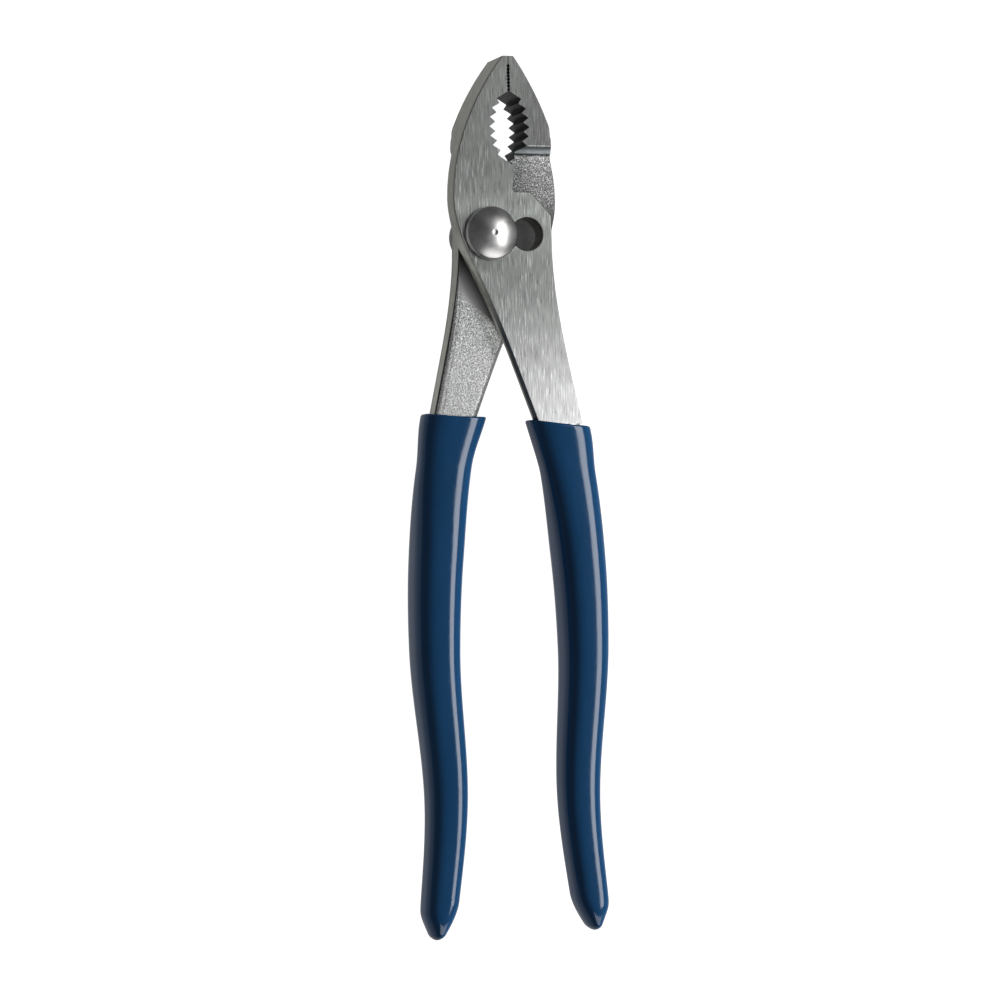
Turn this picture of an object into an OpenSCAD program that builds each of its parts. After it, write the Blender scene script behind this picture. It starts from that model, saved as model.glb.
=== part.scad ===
// Slip joint pliers: two forged levers that turn on one bolt, which sits in either seat of a slot.
// Drawn closed, with the bolt in the narrow seat. Millimetres, +Y towards the jaws, +Z towards the
// bolt head. The origin is on the bolt axis, at the back face of the nut.
// Both levers are one shape: the rear lever is the front one turned over about the tool's long axis.

/* [Jaws] */
// Length from the bolt axis to the nose of the jaws
jaw_len = 41.8; // [38:0.1:46]
// Width of each jaw across its nose
nose_w = 1.3; // [0.6:0.1:2.5]
// Distance of the parting line from the middle of the slot
parting_off = 0.7; // [0:0.1:1.5]
// Gap between the closed jaws
jaw_gap = 0.2; // [0.1:0.05:0.6]
// Smooth length between the nose and the fine teeth
nose_flat = 1.3; // [0.5:0.1:3]
// Pitch of the fine teeth behind the nose
fine_pitch = 0.8; // [0.5:0.05:1.5]
// How far the crests of the fine teeth stand back from the jaw's face
fine_set = 0.1; // [0:0.05:0.3]
// Depth of the fine teeth
fine_depth = 0.25; // [0.15:0.05:0.6]
// Lean of the front jaw's back at the nose, from the long axis, in degrees
front_nose_lean = 38; // [30:1:48]
// Lean of the rear jaw's back at the nose, from the long axis, in degrees
rear_nose_lean = 35; // [30:1:48]
// Reach of the front cheek, from its seat to its outer edge
front_cheek_reach = 8.95; // [7.5:0.05:11]
// Reach of the rear cheek, from the far seat to its outer edge
rear_cheek_reach = 9.3; // [7.5:0.05:11]
// Height of the cheek's widest point above the bolt axis
cheek_at = 8.5; // [6:0.5:14]
// How far the side of the jaw slants in beside the shoulder, at its back face
cheek_relief = 1.2; // [0.4:0.1:2]
// Height above the bolt axis where the slant of the jaw's side begins
relief_at = 28; // [25:0.5:33]

/* [Pipe grip] */
// Lower end of the pipe grip above the bolt axis
pipe_base = 16.8; // [16:0.1:18]
// Length of the pipe grip along the jaws
pipe_len = 16.6; // [14:0.1:19]
// Width of the pipe grip across both jaws, valley to valley
pipe_w = 9.7; // [7:0.1:11]
// Number of pipe grip teeth in each jaw
pipe_teeth = 7; // [4:1:9]
// Depth of the pipe grip teeth
pipe_depth = 1.45; // [0.6:0.05:1.8]

/* [Joint] */
// Thickness of the jaws and of the two laps together
joint_t = 10; // [8:0.5:13]
// Running gap between the two laps
lap_gap = 0.1; // [0.05:0.01:0.2]
// Distance between the two seats of the slot
slot_step = 9.1; // [7:0.1:11]
// Wall between the far seat and the edge of the lap
seat_wall = 2.3; // [1.5:0.1:4]
// Foot of the shoulder above the bolt axis
shoulder_at = 19.4; // [19:0.1:21]
// How far the shoulder leans back over half the thickness
shoulder_lean = 1.1; // [0:0.1:2]
// Radius of the hollow at the foot of the shoulder
shoulder_fillet = 1.4; // [0.5:0.1:1.5]
// Height of the wire cutter's ledge above the bolt axis
ledge_at = 9.9; // [9:0.1:11]
// Height where the lap's slanted corner meets its edge
corner_at = 4.4; // [2:0.1:7]
// Drop of the heel, where the neck begins, below the bolt axis
heel_at = 8.5; // [6:0.5:11]

/* [Bolt and nut] */
// Diameter of the bolt in the slot's seats
bolt_d = 7.7; // [6:0.1:8.5]
// Width across the bolt's two flats
flats_w = 5.4; // [4:0.1:6]
// Diameter of the bolt in the rear lever and in the nut
journal_d = 6.4; // [5:0.1:7]
// Radial clearance of the bolt in the levers
bolt_fit = 0.06; // [0.02:0.01:0.1]
// Radial clearance of the bolt in the nut
nut_fit = 0.03; // [0.01:0.01:0.05]
// Play under the bolt head and over the nut
side_play = 0.05; // [0.02:0.01:0.1]
// Diameter of the bolt head
head_d = 12.5; // [10:0.1:14]
// Height of the head's straight rim
head_rim = 1.3; // [0.6:0.1:2]
// Height of the whole head
head_h = 3.1; // [2.5:0.1:4.5]
// Diameter of the nut
nut_d = 12.2; // [9.5:0.1:13]
// Height of the nut
nut_h = 2.5; // [2:0.1:4]
// Radius round the nut's back edge
nut_round = 0.7; // [0.3:0.1:1.2]

/* [Handles] */
// Length from the bolt axis to the ends of the handles
handle_len = 164; // [150:1:185]
// Width of the neck where it enters its grip
neck_w = 10.9; // [9:0.1:12]
// Radius along the forged edges of the neck
neck_round = 2; // [0.6:0.1:2.4]
// Distance from the bolt axis to the rim of the rear grip
rim_at = 42.4; // [40:0.1:48]
// How much further out the rim of the front grip lies
rim_lag = 2.1; // [0:0.1:4]
// Distance of the neck from the long axis at the rim
rim_off = 11.7; // [10.5:0.1:14]
// Spread of the neck at the rim, in millimetres per millimetre
rim_spread = 0.3; // [0.2:0.01:0.4]
// Distance from the bolt axis to the belly of the handles
belly_at = 97; // [90:1:105]
// Distance of the belly from the long axis
belly_off = 18.6; // [16:0.1:22]
// Distance from the bolt axis to the waist of the handles
waist_at = 131; // [124:1:138]
// Distance of the waist from the long axis
waist_off = 16.6; // [14:0.1:20]
// Distance of the handle ends from the long axis
end_off = 19.7; // [17:0.1:24]
// Spread of the handles at their ends, in millimetres per millimetre
end_spread = 0.1; // [0:0.01:0.2]
// Shift of the handles' middle line towards the rear lever's handle
handle_shift = 0.3; // [0:0.1:1]
// Width of the tang near its end
tang_w_end = 6; // [4:0.1:8]
// Thickness of the tang at its thickest
tang_t_mid = 9.2; // [7:0.1:11]
// Distance from the bolt axis to the tang's thickest place
tang_mid_at = 76; // [70:1:90]
// Thickness of the tang near its end
tang_t_end = 6; // [4:0.1:8]

/* [Grips] */
// Wall of the dipped grip
grip_wall = 1.3; // [0.8:0.1:2]
// Clearance between tang and grip
grip_fit = 0.05; // [0.02:0.01:0.1]
// Step from the neck down to the tang, inside the rim
tang_step = 0.2; // [0.1:0.05:0.4]
// How far the rim of a grip flares out on each side
rim_flare = 1; // [0.3:0.1:1.6]
// Length of the flare at the rim
flare_len = 12; // [6:0.5:20]
// Length of the slanted end of a grip
grip_slant = 5.8; // [4:0.1:9]
// How much earlier the inner side of a grip's end starts to round
bend_lead = 3; // [1:0.1:5]
// Solid length of the grip past the tang
grip_tip = 2.5; // [1.5:0.1:5]

/* [Hidden] */
$fn = 64;

steel = [0.70, 0.71, 0.72];
dark_steel = [0.58, 0.59, 0.60];
blue = [0.08, 0.24, 0.42];

// Levels: nut, then the rear lap, then the front lap, then the bolt head
back_z = nut_h + side_play;
lap_z = back_z + joint_t / 2;
front_z = back_z + joint_t;
head_z = front_z + side_play;

// Plan positions in a lever's own frame: x from the middle of the slot, y from the bolt axis
slot_mid = slot_step / 2;
seat_d = bolt_d + 2 * bolt_fit;
plate_w = slot_mid + seat_d / 2 + seat_wall;
cheek_w_front = slot_mid + front_cheek_reach;
cheek_w_rear = slot_mid + rear_cheek_reach;
pipe_top = pipe_base + pipe_len;
pipe_mid = pipe_base + pipe_len / 2;
pipe_ends = 0.55;
pipe_pitch = pipe_len / (pipe_teeth + pipe_ends);
tooth_least = 0.1;
fine_room = jaw_len - nose_flat - pipe_top;
fine_teeth = max(floor(fine_room / fine_pitch), 0);

// Wire cutter: the spur beside the pipe grip, then the ledge that runs out to the slanted corner
apex_in = 0.45;
spur_x = 1.85;
spur_drop = 1.2;
ledge_x = 1.2;
ledge_round = 0.6;
ledge_run = 4.4;

// Heel and neck
heel_x = -8.25;
heel_lean = 27;
neck_in_lean = 21;
neck_out_lean = 12;
plate_low = 2;
neck_t = (joint_t - lap_gap) / 2;
neck_z = (joint_t + lap_gap) / 4;

// Steps along curves, and sides and rings of the lofted tangs and grips
curve_steps = 12;
arc_steps = 5;
loft_sides = 20;
loft_rings = 34;
taper = 1.1;
tang_square = 5;
grip_square = 3.2;
tang_root = 3;
slant_at = handle_len - grip_slant;
tang_end_at = slant_at - grip_tip;
bend_at = slant_at - bend_lead;
tip_steps = 9;
tip_out = 0.42;
tip_in = 0.45;
tip_bend = 1.4;
tip_thin = 0.35;
lip = 0.25;
lip_len = 0.6;
edge_least = 0.2;
edge_ramp = 7;
relief_clear = 0.3;
cut_margin = 1;

function lerp(a, b, t) = a + (b - a) * t;
function ease(t) = let (u = min(max(t, 0), 1)) u * u * (3 - 2 * u);
function hermite(t, a, b, slope_a, slope_b) =
    lerp(a, b, t * t * (3 - 2 * t)) + slope_a * t * (1 - t) * (1 - t) - slope_b * t * t * (1 - t);
function down(lean) = [sin(lean), -cos(lean)];

// A cubic curve from p to q that leaves along dir_p and arrives along dir_q
function curve(p, dir_p, q, dir_q) =
    let (reach = norm(q - p) / 3, a = p + reach * dir_p, b = q - reach * dir_q)
    [for (i = [0 : curve_steps]) let (t = i / curve_steps, s = 1 - t)
        s * s * s * p + 3 * s * s * t * a + 3 * s * t * t * b + t * t * t * q];

function but_last(list) = [for (i = [0 : len(list) - 2]) list[i]];
function reversed(list) = [for (i = [len(list) - 1 : -1 : 0]) list[i]];

// Handle path: distance from the long axis at a distance d below the bolt axis
function handle_off(d) =
    d < belly_at ? let (l = belly_at - rim_at)
        hermite((d - rim_at) / l, rim_off, belly_off, rim_spread * l, 0)
    : d < waist_at ? hermite((d - belly_at) / (waist_at - belly_at), belly_off, waist_off, 0, 0)
    : let (l = handle_len - waist_at)
        hermite((d - waist_at) / l, waist_off, end_off, 0, end_spread * l);

function tang_w(d) =
    let (along = min(max((d - rim_at) / (tang_end_at - rim_at), 0), 1))
    lerp(neck_w, tang_w_end, pow(along, taper)) - 2 * tang_step;
function tang_t(d) = d < tang_mid_at
    ? lerp(neck_t - 2 * tang_step, tang_t_mid, ease((d - rim_at) / (tang_mid_at - rim_at)))
    : lerp(tang_t_mid, tang_t_end, ease((d - tang_mid_at) / (tang_end_at - tang_mid_at)));
function tang_z(d) = neck_z * (1 - ease((d - rim_at) / (tang_mid_at - rim_at)));

// Rails of the neck: its inner edge from the heel and its outer edge from the lap
function neck_in(rim, shift) =
    curve([heel_x, -heel_at], down(heel_lean),
        [handle_off(rim) + shift - neck_w / 2, -rim], down(neck_in_lean));
function neck_out(rim, shift) =
    curve([plate_w, -plate_low], down(0),
        [handle_off(rim) + shift + neck_w / 2, -rim], down(neck_out_lean));

// Half width of the pipe grip at the valleys
function pipe_half(y) = pipe_w / 2 * sqrt(max(1 - pow((y - pipe_mid) / (pipe_len / 2), 2), 0));

// Jaw face from the pipe grip's lower end up to the nose, at the face's own x
function pipe_edge(face) =
    [for (i = [0 : pipe_teeth - 1], half = [0, 0.5])
        let (y = pipe_mid + pipe_pitch * (i + half - (pipe_teeth - 1) / 2))
        let (deep = half == 0 ? 0 : pipe_depth)
        if (half == 0 || i < pipe_teeth - 1) [face - max(pipe_half(y) - deep, tooth_least), y]];
function fine_edge(face) =
    [for (i = [0 : 1 : fine_teeth - 1], half = [0, 0.5])
        [face - fine_set - (half == 0 ? 0 : fine_depth), pipe_top + fine_pitch * (i + half)]];

// Wire cutter ledge: from the lap's slanted corner to the spur and the pipe grip's lower end
function ledge(part) = concat(
    [[plate_w, corner_at], [ledge_x + ledge_run, ledge_at]],
    [for (i = [0 : arc_steps]) let (a = 270 - 90 * i / arc_steps)
        [ledge_x + ledge_round * (1 + cos(a)), ledge_at + ledge_round * (1 + sin(a))]],
    [[spur_x, pipe_base - spur_drop], [part - apex_in, pipe_base]]);

// Back of the jaw, from the nose down to the widest point of the cheek
function jaw_back(part, cheek, lean) =
    curve([part - jaw_gap / 2 - nose_w, jaw_len], down(-lean), [-cheek, cheek_at], down(0));

// Plan of a whole lever, in its own frame, with the parting line at x = part
function lever_plan(part, cheek, lean, rim, shift) =
    let (face = part - jaw_gap / 2)
    concat(
        [[face, jaw_len]],
        but_last(jaw_back(part, cheek, lean)),
        but_last(curve([-cheek, cheek_at], down(0), [heel_x, -heel_at], down(heel_lean))),
        neck_in(rim, shift),
        reversed(neck_out(rim, shift)),
        ledge(part),
        pipe_edge(face),
        fine_edge(face),
        [[face, pipe_top + fine_pitch * fine_teeth]]);

// Side profile of what is milled away for the other lever's lap: everything below the shoulder
function lap_profile() =
    let (wall = shoulder_at, r = shoulder_fillet, top = lap_gap / 2, low = -joint_t / 2)
    concat(
        [[-handle_len, top]],
        [for (i = [0 : arc_steps]) let (a = 90 - 90 * i / arc_steps)
            [wall - r + r * cos(a), top - r + r * sin(a)]],
        [[wall + shoulder_lean, low], [wall + shoulder_lean, low - cut_margin]],
        [[-handle_len, low - cut_margin]]);

// Triangles of a loft: rings of s points each, closed by a fan at both ends
function loft_sides_faces(rings, s, first) =
    [for (i = [0 : rings - 2], k = [0 : s - 1], half = [0, 1])
        let (a = first + i * s + k, b = first + i * s + (k + 1) % s, c = b + s, d = a + s)
        half == 0 ? [a, c, b] : [a, d, c]];
function fan(s, first) = [for (k = [1 : s - 2]) [first, first + k, first + k + 1]];
function flipped(faces) = [for (f = faces) [f[0], f[2], f[1]]];
function flat(rings) = [for (ring = rings, p = ring) p];

module loft(rings) {
    s = len(rings[0]);
    n = len(rings);
    polyhedron(flat(rings), concat(loft_sides_faces(n, s, 0), fan(s, 0), flipped(fan(s, (n - 1) * s))));
}

// Cross-section of a handle at distance d: a squarish oval, w wide and t thick
function oval(x, d, z, w, t, square) =
    [for (k = [0 : loft_sides - 1]) let (a = 360 * (k + 0.5) / loft_sides, c = cos(a), s = sin(a))
        [x + w / 2 * sign(c) * pow(abs(c), 2 / square), -d, z + t / 2 * sign(s) * pow(abs(s), 2 / square)]];

function tang_ring(d, shift, grow) =
    oval(handle_off(d) + shift, d, tang_z(d), tang_w(d) + 2 * grow, tang_t(d) + 2 * grow, tang_square);

// The tang starts inside the neck and runs down to its end inside the grip
module tang(rim, shift) {
    start = rim - tang_root;
    loft([for (i = [0 : loft_rings]) tang_ring(lerp(start, tang_end_at, i / loft_rings), shift, 0)]);
}

// Rounds a forged edge of the neck: what lies outside a quarter circle that follows the rail
module edge_cut(rail, side) {
    rings = [for (i = [0 : len(rail) - 1])
        let (r = neck_round * lerp(edge_least, 1, ease(i / edge_ramp)), p = rail[i])
        let (outside = concat([[r, -cut_margin]],
            [for (j = [0 : arc_steps]) let (a = 270 - 90 * j / arc_steps) [r + r * cos(a), r + r * sin(a)]],
            [[-cut_margin, r]]))
        [for (q = concat([[-cut_margin, -cut_margin]], side > 0 ? outside : reversed(outside)))
            [p[0] + side * q[0], p[1], lap_gap / 2 + q[1]]]];
    loft(rings);
}

// Slants the side of the jaw behind the lap plane: a wedge along its back, deepest beside the shoulder
module relief_cut(rail) {
    top = lap_gap / 2;
    low = -joint_t / 2 - cut_margin;
    past = (top - low) / (top + joint_t / 2);
    out = -relief_clear - cut_margin;
    rings = [for (p = rail)
        let (above = ease((relief_at - p[1]) / (relief_at - shoulder_at)))
        let (below = ease((p[1] - cheek_at) / (shoulder_at - cheek_at)))
        let (deep = lerp(-relief_clear, cheek_relief, above * below))
        let (wedge = [[out, top], [out, low], [lerp(-relief_clear, deep, past), low], [-relief_clear, top]])
        [for (q = wedge) [p[0] + q[0], p[1], q[1]]]];
    loft(rings);
}

// One lever in its own frame: x from the middle of the slot, z from the lap plane, own lap above
module lever(part, cheek, lean, rim, shift) {
    difference() {
        translate([0, 0, -joint_t / 2])
            linear_extrude(joint_t)
                polygon(lever_plan(part, cheek, lean, rim, shift));
        translate([-handle_len / 2, 0, 0])
            rotate([90, 0, 90])
                linear_extrude(handle_len)
                    polygon(lap_profile());
        relief_cut(jaw_back(part, cheek, lean));
        edge_cut(neck_in(rim, shift), 1);
        edge_cut(neck_out(rim, shift), -1);
    }
    tang(rim, shift);
}

// Places a shape drawn in a lever's own frame: the front lever as drawn, the rear one turned over
module as_front() {
    translate([slot_mid, 0, lap_z])
        children();
}

module as_rear() {
    translate([slot_mid, 0, lap_z])
        rotate([0, 180, 0])
            children();
}

module front_lever() {
    color(steel)
        difference() {
            as_front()
                lever(parting_off, cheek_w_front, front_nose_lean, rim_at + rim_lag, -handle_shift);
            for (seat = [0, slot_step])
                translate([seat, 0, lap_z - cut_margin])
                    cylinder(d = seat_d, h = joint_t);
            translate([0, -flats_w / 2 - bolt_fit, lap_z - cut_margin])
                cube([slot_step, flats_w + 2 * bolt_fit, joint_t]);
        }
}

module rear_lever() {
    color(steel)
        difference() {
            as_rear()
                lever(-parting_off, cheek_w_rear, rear_nose_lean, rim_at, handle_shift);
            translate([0, 0, back_z - cut_margin])
                cylinder(d = journal_d + 2 * bolt_fit, h = joint_t);
        }
}

// Domed head on a short rim, flats in the slot, a round journal down through the nut
module pivot_bolt() {
    dome_h = head_h - head_rim;
    dome_r = (head_d * head_d / 4 + dome_h * dome_h) / (2 * dome_h);
    dimple_r = 1;
    dimple_deep = 0.2;
    end_gap = 0.3;
    color(dark_steel) {
        difference() {
            intersection() {
                translate([0, 0, head_z])
                    cylinder(d = head_d, h = head_h);
                translate([0, 0, head_z + head_h - dome_r])
                    sphere(r = dome_r);
            }
            translate([0, 0, head_z + head_h + dimple_r - dimple_deep])
                sphere(r = dimple_r);
        }
        intersection() {
            translate([0, 0, lap_z])
                cylinder(d = bolt_d, h = head_z - lap_z + head_rim / 2);
            translate([-bolt_d, -flats_w / 2, lap_z])
                cube([2 * bolt_d, flats_w, joint_t]);
        }
        translate([0, 0, end_gap])
            cylinder(d = journal_d, h = lap_z - end_gap);
    }
}

// Low round nut with a rounded back edge
module pivot_nut() {
    r = nut_d / 2;
    bore = journal_d / 2 + nut_fit;
    color(dark_steel)
        rotate_extrude()
            polygon(concat(
                [[bore, 0]],
                [for (i = [0 : arc_steps]) let (a = 270 + 90 * i / arc_steps)
                    [r - nut_round + nut_round * cos(a), nut_round + nut_round * sin(a)]],
                [[r, nut_h], [bore, nut_h]]));
}

// Outer ring of a grip: flared at the rim, cut straight at the end of its outer side, rounded at the inner
function grip_ring(d, shift, rim) =
    let (flare = rim_flare * (1 - ease((d - rim) / flare_len)), thin = lip * (1 - ease((d - rim) / lip_len)))
    let (grow = 2 * (grip_fit + grip_wall + flare), w = tang_w(d) + grow, t = tang_t(d) + grow)
    let (v = max((d - slant_at) / grip_slant, 0), u = max((d - bend_at) / (handle_len - bend_at), 0))
    let (right = 0.5 - tip_out * v, left = -0.5 + tip_in * pow(u, tip_bend))
    oval(handle_off(d) + shift + w * (right + left) / 2, d, tang_z(d),
        w * (right - left) - thin, t * (1 - tip_thin * v * v) - thin, grip_square);

// A dipped sleeve, closed at the tip and open at the rim, with a pocket for the tang
module grip(rim, shift) {
    body = [for (i = [0 : loft_rings]) lerp(rim + lip_len, bend_at, i / loft_rings)];
    tip = [for (i = [1 : tip_steps]) lerp(bend_at, handle_len, i / tip_steps)];
    outer = [for (d = concat([rim, rim + lip_len / 2], body, tip)) grip_ring(d, shift, rim)];
    inner = [for (i = [0 : loft_rings])
        tang_ring(lerp(rim, tang_end_at + grip_fit, i / loft_rings), shift, grip_fit)];
    s = loft_sides;
    n = len(outer);
    m = len(inner);
    pocket = n * s;
    rim_faces = [for (k = [0 : s - 1], half = [0, 1])
        let (a = k, b = (k + 1) % s, c = pocket + b, d = pocket + a)
        half == 0 ? [a, b, c] : [a, c, d]];
    polyhedron(flat(concat(outer, inner)), concat(
        loft_sides_faces(n, s, 0),
        flipped(fan(s, (n - 1) * s)),
        rim_faces,
        flipped(loft_sides_faces(m, s, pocket)),
        fan(s, pocket + (m - 1) * s)));
}

module front_grip() {
    color(blue)
        as_front()
            grip(rim_at + rim_lag, -handle_shift);
}

module rear_grip() {
    color(blue)
        as_rear()
            grip(rim_at, handle_shift);
}

front_lever();
rear_lever();
pivot_bolt();
pivot_nut();
front_grip();
rear_grip();
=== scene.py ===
# %% [markdown]
# # Slip joint pliers
# The tool is two forged levers that cross on one bolt, with a dipped plastic sleeve on each handle. The
# solid model comes first, packed as a frame. This script dresses that frame: it rounds the edges that a
# hammer and a grinding belt leave, gives each surface its finish, and lights it as a studio would. The
# CAD box is kept here, because the dressed tool has to fill the same space at the end. Sizes are in
# millimetres, and MM turns them into Blender's metres. +Y runs from the bolt to the nose, +Z along the
# bolt to its head.

# %% Load the frame
import math
import bmesh
import bpy
from mathutils import Matrix, Vector


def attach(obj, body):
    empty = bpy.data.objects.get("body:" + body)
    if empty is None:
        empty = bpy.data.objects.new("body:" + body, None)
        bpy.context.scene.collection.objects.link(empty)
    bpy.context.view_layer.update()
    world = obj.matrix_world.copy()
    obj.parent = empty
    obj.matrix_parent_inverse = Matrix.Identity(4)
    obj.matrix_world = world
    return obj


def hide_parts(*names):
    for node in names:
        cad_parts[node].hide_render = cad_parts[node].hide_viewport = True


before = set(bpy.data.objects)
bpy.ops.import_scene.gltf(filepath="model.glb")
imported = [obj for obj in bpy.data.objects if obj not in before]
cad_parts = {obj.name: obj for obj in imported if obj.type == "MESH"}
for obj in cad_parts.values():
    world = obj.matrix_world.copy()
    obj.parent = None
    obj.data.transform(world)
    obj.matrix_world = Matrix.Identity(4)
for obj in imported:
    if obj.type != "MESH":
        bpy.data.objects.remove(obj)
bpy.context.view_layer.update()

MM = 0.001
LAP_Z, PARTING_X, SLOT_MID = 7.55, 5.25, 4.55
scene = bpy.context.scene

# %% [markdown]
# ## The camera
# The photograph looks down on the tool from the left of its long axis, through a long lens, and is turned
# a little in the frame. A camera is a matrix: three columns for right, up and back, and one for its
# place. Building the columns by hand is surer than turning Euler angles, because each number then has a
# meaning on set.

# %% Place the camera
AIM = Vector((2.707, -62.096, 7.5)) * MM
LEFT_DEG, LOW_DEG, TURN_DEG = 20.5, 1.1, -1.27
CAMERA_DISTANCE, LENS_MM, SENSOR_MM, NEAREST = 0.740, 113.56, 36, 0.01


def hung(thing, columns, spot):
    thing.matrix_world = Matrix(columns).transposed().to_4x4()
    thing.matrix_world.translation = spot
    scene.collection.objects.link(thing)
    return thing


left, low, turn = (math.radians(angle) for angle in (LEFT_DEG, LOW_DEG, TURN_DEG))
back = Vector((-math.sin(left) * math.cos(low), -math.sin(low), math.cos(left) * math.cos(low)))
right = Vector((0, 1, 0)).cross(back).normalized()
up = back.cross(right)
turned_right = right * math.cos(turn) + up * math.sin(turn)
turned_up = up * math.cos(turn) - right * math.sin(turn)
lens = bpy.data.cameras.new("photo_lens")
lens.lens, lens.sensor_width, lens.clip_start = LENS_MM, SENSOR_MM, NEAREST
spot = AIM + CAMERA_DISTANCE * back
scene.camera = hung(bpy.data.objects.new("photo_camera", lens), (turned_right, turned_up, back), spot)
print("camera at", [round(c, 3) for c in spot])

# %% [markdown]
# ## White paper and grey card
# In the photograph the paper is pure white and has no shadow, yet the sides of the tool mirror something
# dim. One sheet can't be both. So a white sheet glows by itself, as a light table does, and is hidden
# from reflections, and a dimmer card just under it is what the steel and the plastic mirror.

# %% Lay the white paper and the grey card
SHEET_HALF, SHEET_ROUGH, SHEET_SHINE = 8.0, 0.9, 0.1
CARD_BELOW = 4 * MM


def sheet(name, height, glow, tone):
    mesh = bpy.data.meshes.new(name)
    half = SHEET_HALF
    corners = [(-half, -half, height), (half, -half, height), (half, half, height), (-half, half, height)]
    mesh.from_pydata(corners, [], [(0, 1, 2, 3)])
    paper = bpy.data.materials.new(name)
    paper.use_nodes = True
    shader = paper.node_tree.nodes["Principled BSDF"]
    shader.inputs["Base Color"].default_value = (tone, tone, tone, 1)
    shader.inputs["Roughness"].default_value = SHEET_ROUGH
    shader.inputs["Specular IOR Level"].default_value = SHEET_SHINE
    shader.inputs["Emission Color"].default_value = (1, 1, 1, 1)
    shader.inputs["Emission Strength"].default_value = glow
    mesh.materials.append(paper)
    ground = bpy.data.objects.new(name, mesh)
    scene.collection.objects.link(ground)
    return ground


white_paper = sheet("white_paper", 0.0, glow=1.02, tone=0.25)
white_paper.visible_glossy = False
white_paper.visible_diffuse = False
grey_card = sheet("grey_card", -CARD_BELOW, glow=0.42, tone=0.2)
print("laid", white_paper.name, "and", grey_card.name)

# %% [markdown]
# ## Soft boxes
# A product shot of polished steel is really a picture of what surrounds it. Each soft box is an area
# light, placed where its mirror image falls on the right surface. The place, the size and the power of a
# box are in metres and watts. The mirror box makes the bright spot on the bolt and the line along each
# sleeve, and the lever box hangs in the same place for the ground flats. The other four fill in from
# near, from the right, from the left and from far.

# %% Hang the soft boxes
def soft_box(name, at, size, power):
    lamp = bpy.data.lights.new(name, "AREA")
    lamp.shape = "RECTANGLE"
    lamp.size, lamp.size_y = size
    lamp.energy = power
    toward = (Vector(at) - AIM).normalized()
    across = Vector((0, 1, 0)).cross(toward).normalized()
    return hung(bpy.data.objects.new(name, lamp), (across, toward.cross(across), toward), Vector(at))


UPPER_RIGHT, TALL = (0.61, 0.05, 0.80), (0.32, 0.8)
mirror_box = soft_box("mirror_box", UPPER_RIGHT, TALL, power=7.5)
lever_box = soft_box("lever_box", UPPER_RIGHT, TALL, power=3.2)
near_box = soft_box("near_box", (0.35, -0.74, 0.65), (0.9, 0.35), power=3.5)
side_box = soft_box("side_box", (0.91, -0.10, 0.41), (0.35, 1.0), power=13.5)
left_box = soft_box("left_box", (-0.45, -0.06, 0.85), (0.35, 0.9), power=2.0)
far_box = soft_box("far_box", (0.0, 0.80, 0.60), (1.0, 0.5), power=2.5)
print("soft boxes", [box.name for box in (mirror_box, lever_box, near_box, side_box, left_box, far_box)])

# %% [markdown]
# ## Who gets which light
# On set, flags and cards keep a box off a surface that shouldn't have it. Light linking does the same: a
# receiver collection lists the pieces that a box shines on, and a blocker collection lists what throws a
# shadow in it. The domed bolt and the plastic want a strong box, the ground flats a weak one. In the
# three boxes that shine on the levers alone, only the bolt throws a shadow. A box that is there for its
# mirror image is hidden from dull surfaces, and the box that shades the plastic from the right is hidden
# from mirror images. The room itself is dim and grey.

# %% Share out the light
ROOM_TONE = (0.11, 0.112, 0.115, 1)

lit_glossy = bpy.data.collections.new("bolt_and_sleeves")
lit_levers = bpy.data.collections.new("levers")
shadow_makers = bpy.data.collections.new("shadow_makers")
mirror_box.light_linking.receiver_collection = lit_glossy
for box in (lever_box, left_box, far_box):
    box.light_linking.receiver_collection = lit_levers
    box.light_linking.blocker_collection = shadow_makers
for box in (mirror_box, lever_box, left_box, far_box, near_box):
    box.visible_diffuse = False
side_box.visible_glossy = False

room = bpy.data.worlds.new("dim_room")
room.use_nodes = True
room.node_tree.nodes["Background"].inputs["Color"].default_value = ROOM_TONE
scene.world = room
scene.view_settings.view_transform = "Standard"
print("light is shared between", lit_glossy.name, "and", lit_levers.name, "in a", room.name)

# %% [markdown]
# ## Finishes
# Every finish starts from one Principled shader. A helper adds a node and wires it, which keeps the
# recipes short: a socket is given either another node's output or a plain value. A ramp turns a pattern
# into tones, and a tone above 1 brightens what it is multiplied with.

# %% Helpers for a recipe
def recipe(name):
    finish = bpy.data.materials.new(name)
    finish.use_nodes = True
    return finish, finish.node_tree, finish.node_tree.nodes["Principled BSDF"]


def wire(tree, node, sockets):
    for socket, source in sockets.items():
        if isinstance(source, bpy.types.NodeSocket):
            tree.links.new(source, node.inputs[socket])
        else:
            node.inputs[socket].default_value = source
    return node


def add(tree, kind, sockets=None, **values):
    node = tree.nodes.new(kind)
    for key, value in values.items():
        setattr(node, key, value)
    return wire(tree, node, sockets or {})


def ramp(tree, source, stops):
    node = add(tree, "ShaderNodeValToRGB", {"Fac": source})
    while len(node.color_ramp.elements) < len(stops):
        node.color_ramp.elements.new(0.5)
    for element, (at, shade) in zip(node.color_ramp.elements, stops):
        element.position = at
        element.color = (*shade, 1) if isinstance(shade, tuple) else (shade, shade, shade, 1)
    return node.outputs["Color"]


def mixed(tree, share, one, other, how="MIX"):
    values = {0: share, 6: one, 7: other}
    return add(tree, "ShaderNodeMix", values, data_type="RGBA", blend_type=how).outputs[2]


def multiplied(tree, one, other):
    return mixed(tree, 1.0, one, other, "MULTIPLY")


def grey(level, cast=0.0):
    return (level * (1 - cast), level, level * (1 - cast))


def told(finish):
    print(finish.name, "has", len(finish.node_tree.nodes), "nodes")
    return finish


print("a grey with a green cast", grey(0.3, 0.04))

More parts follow.
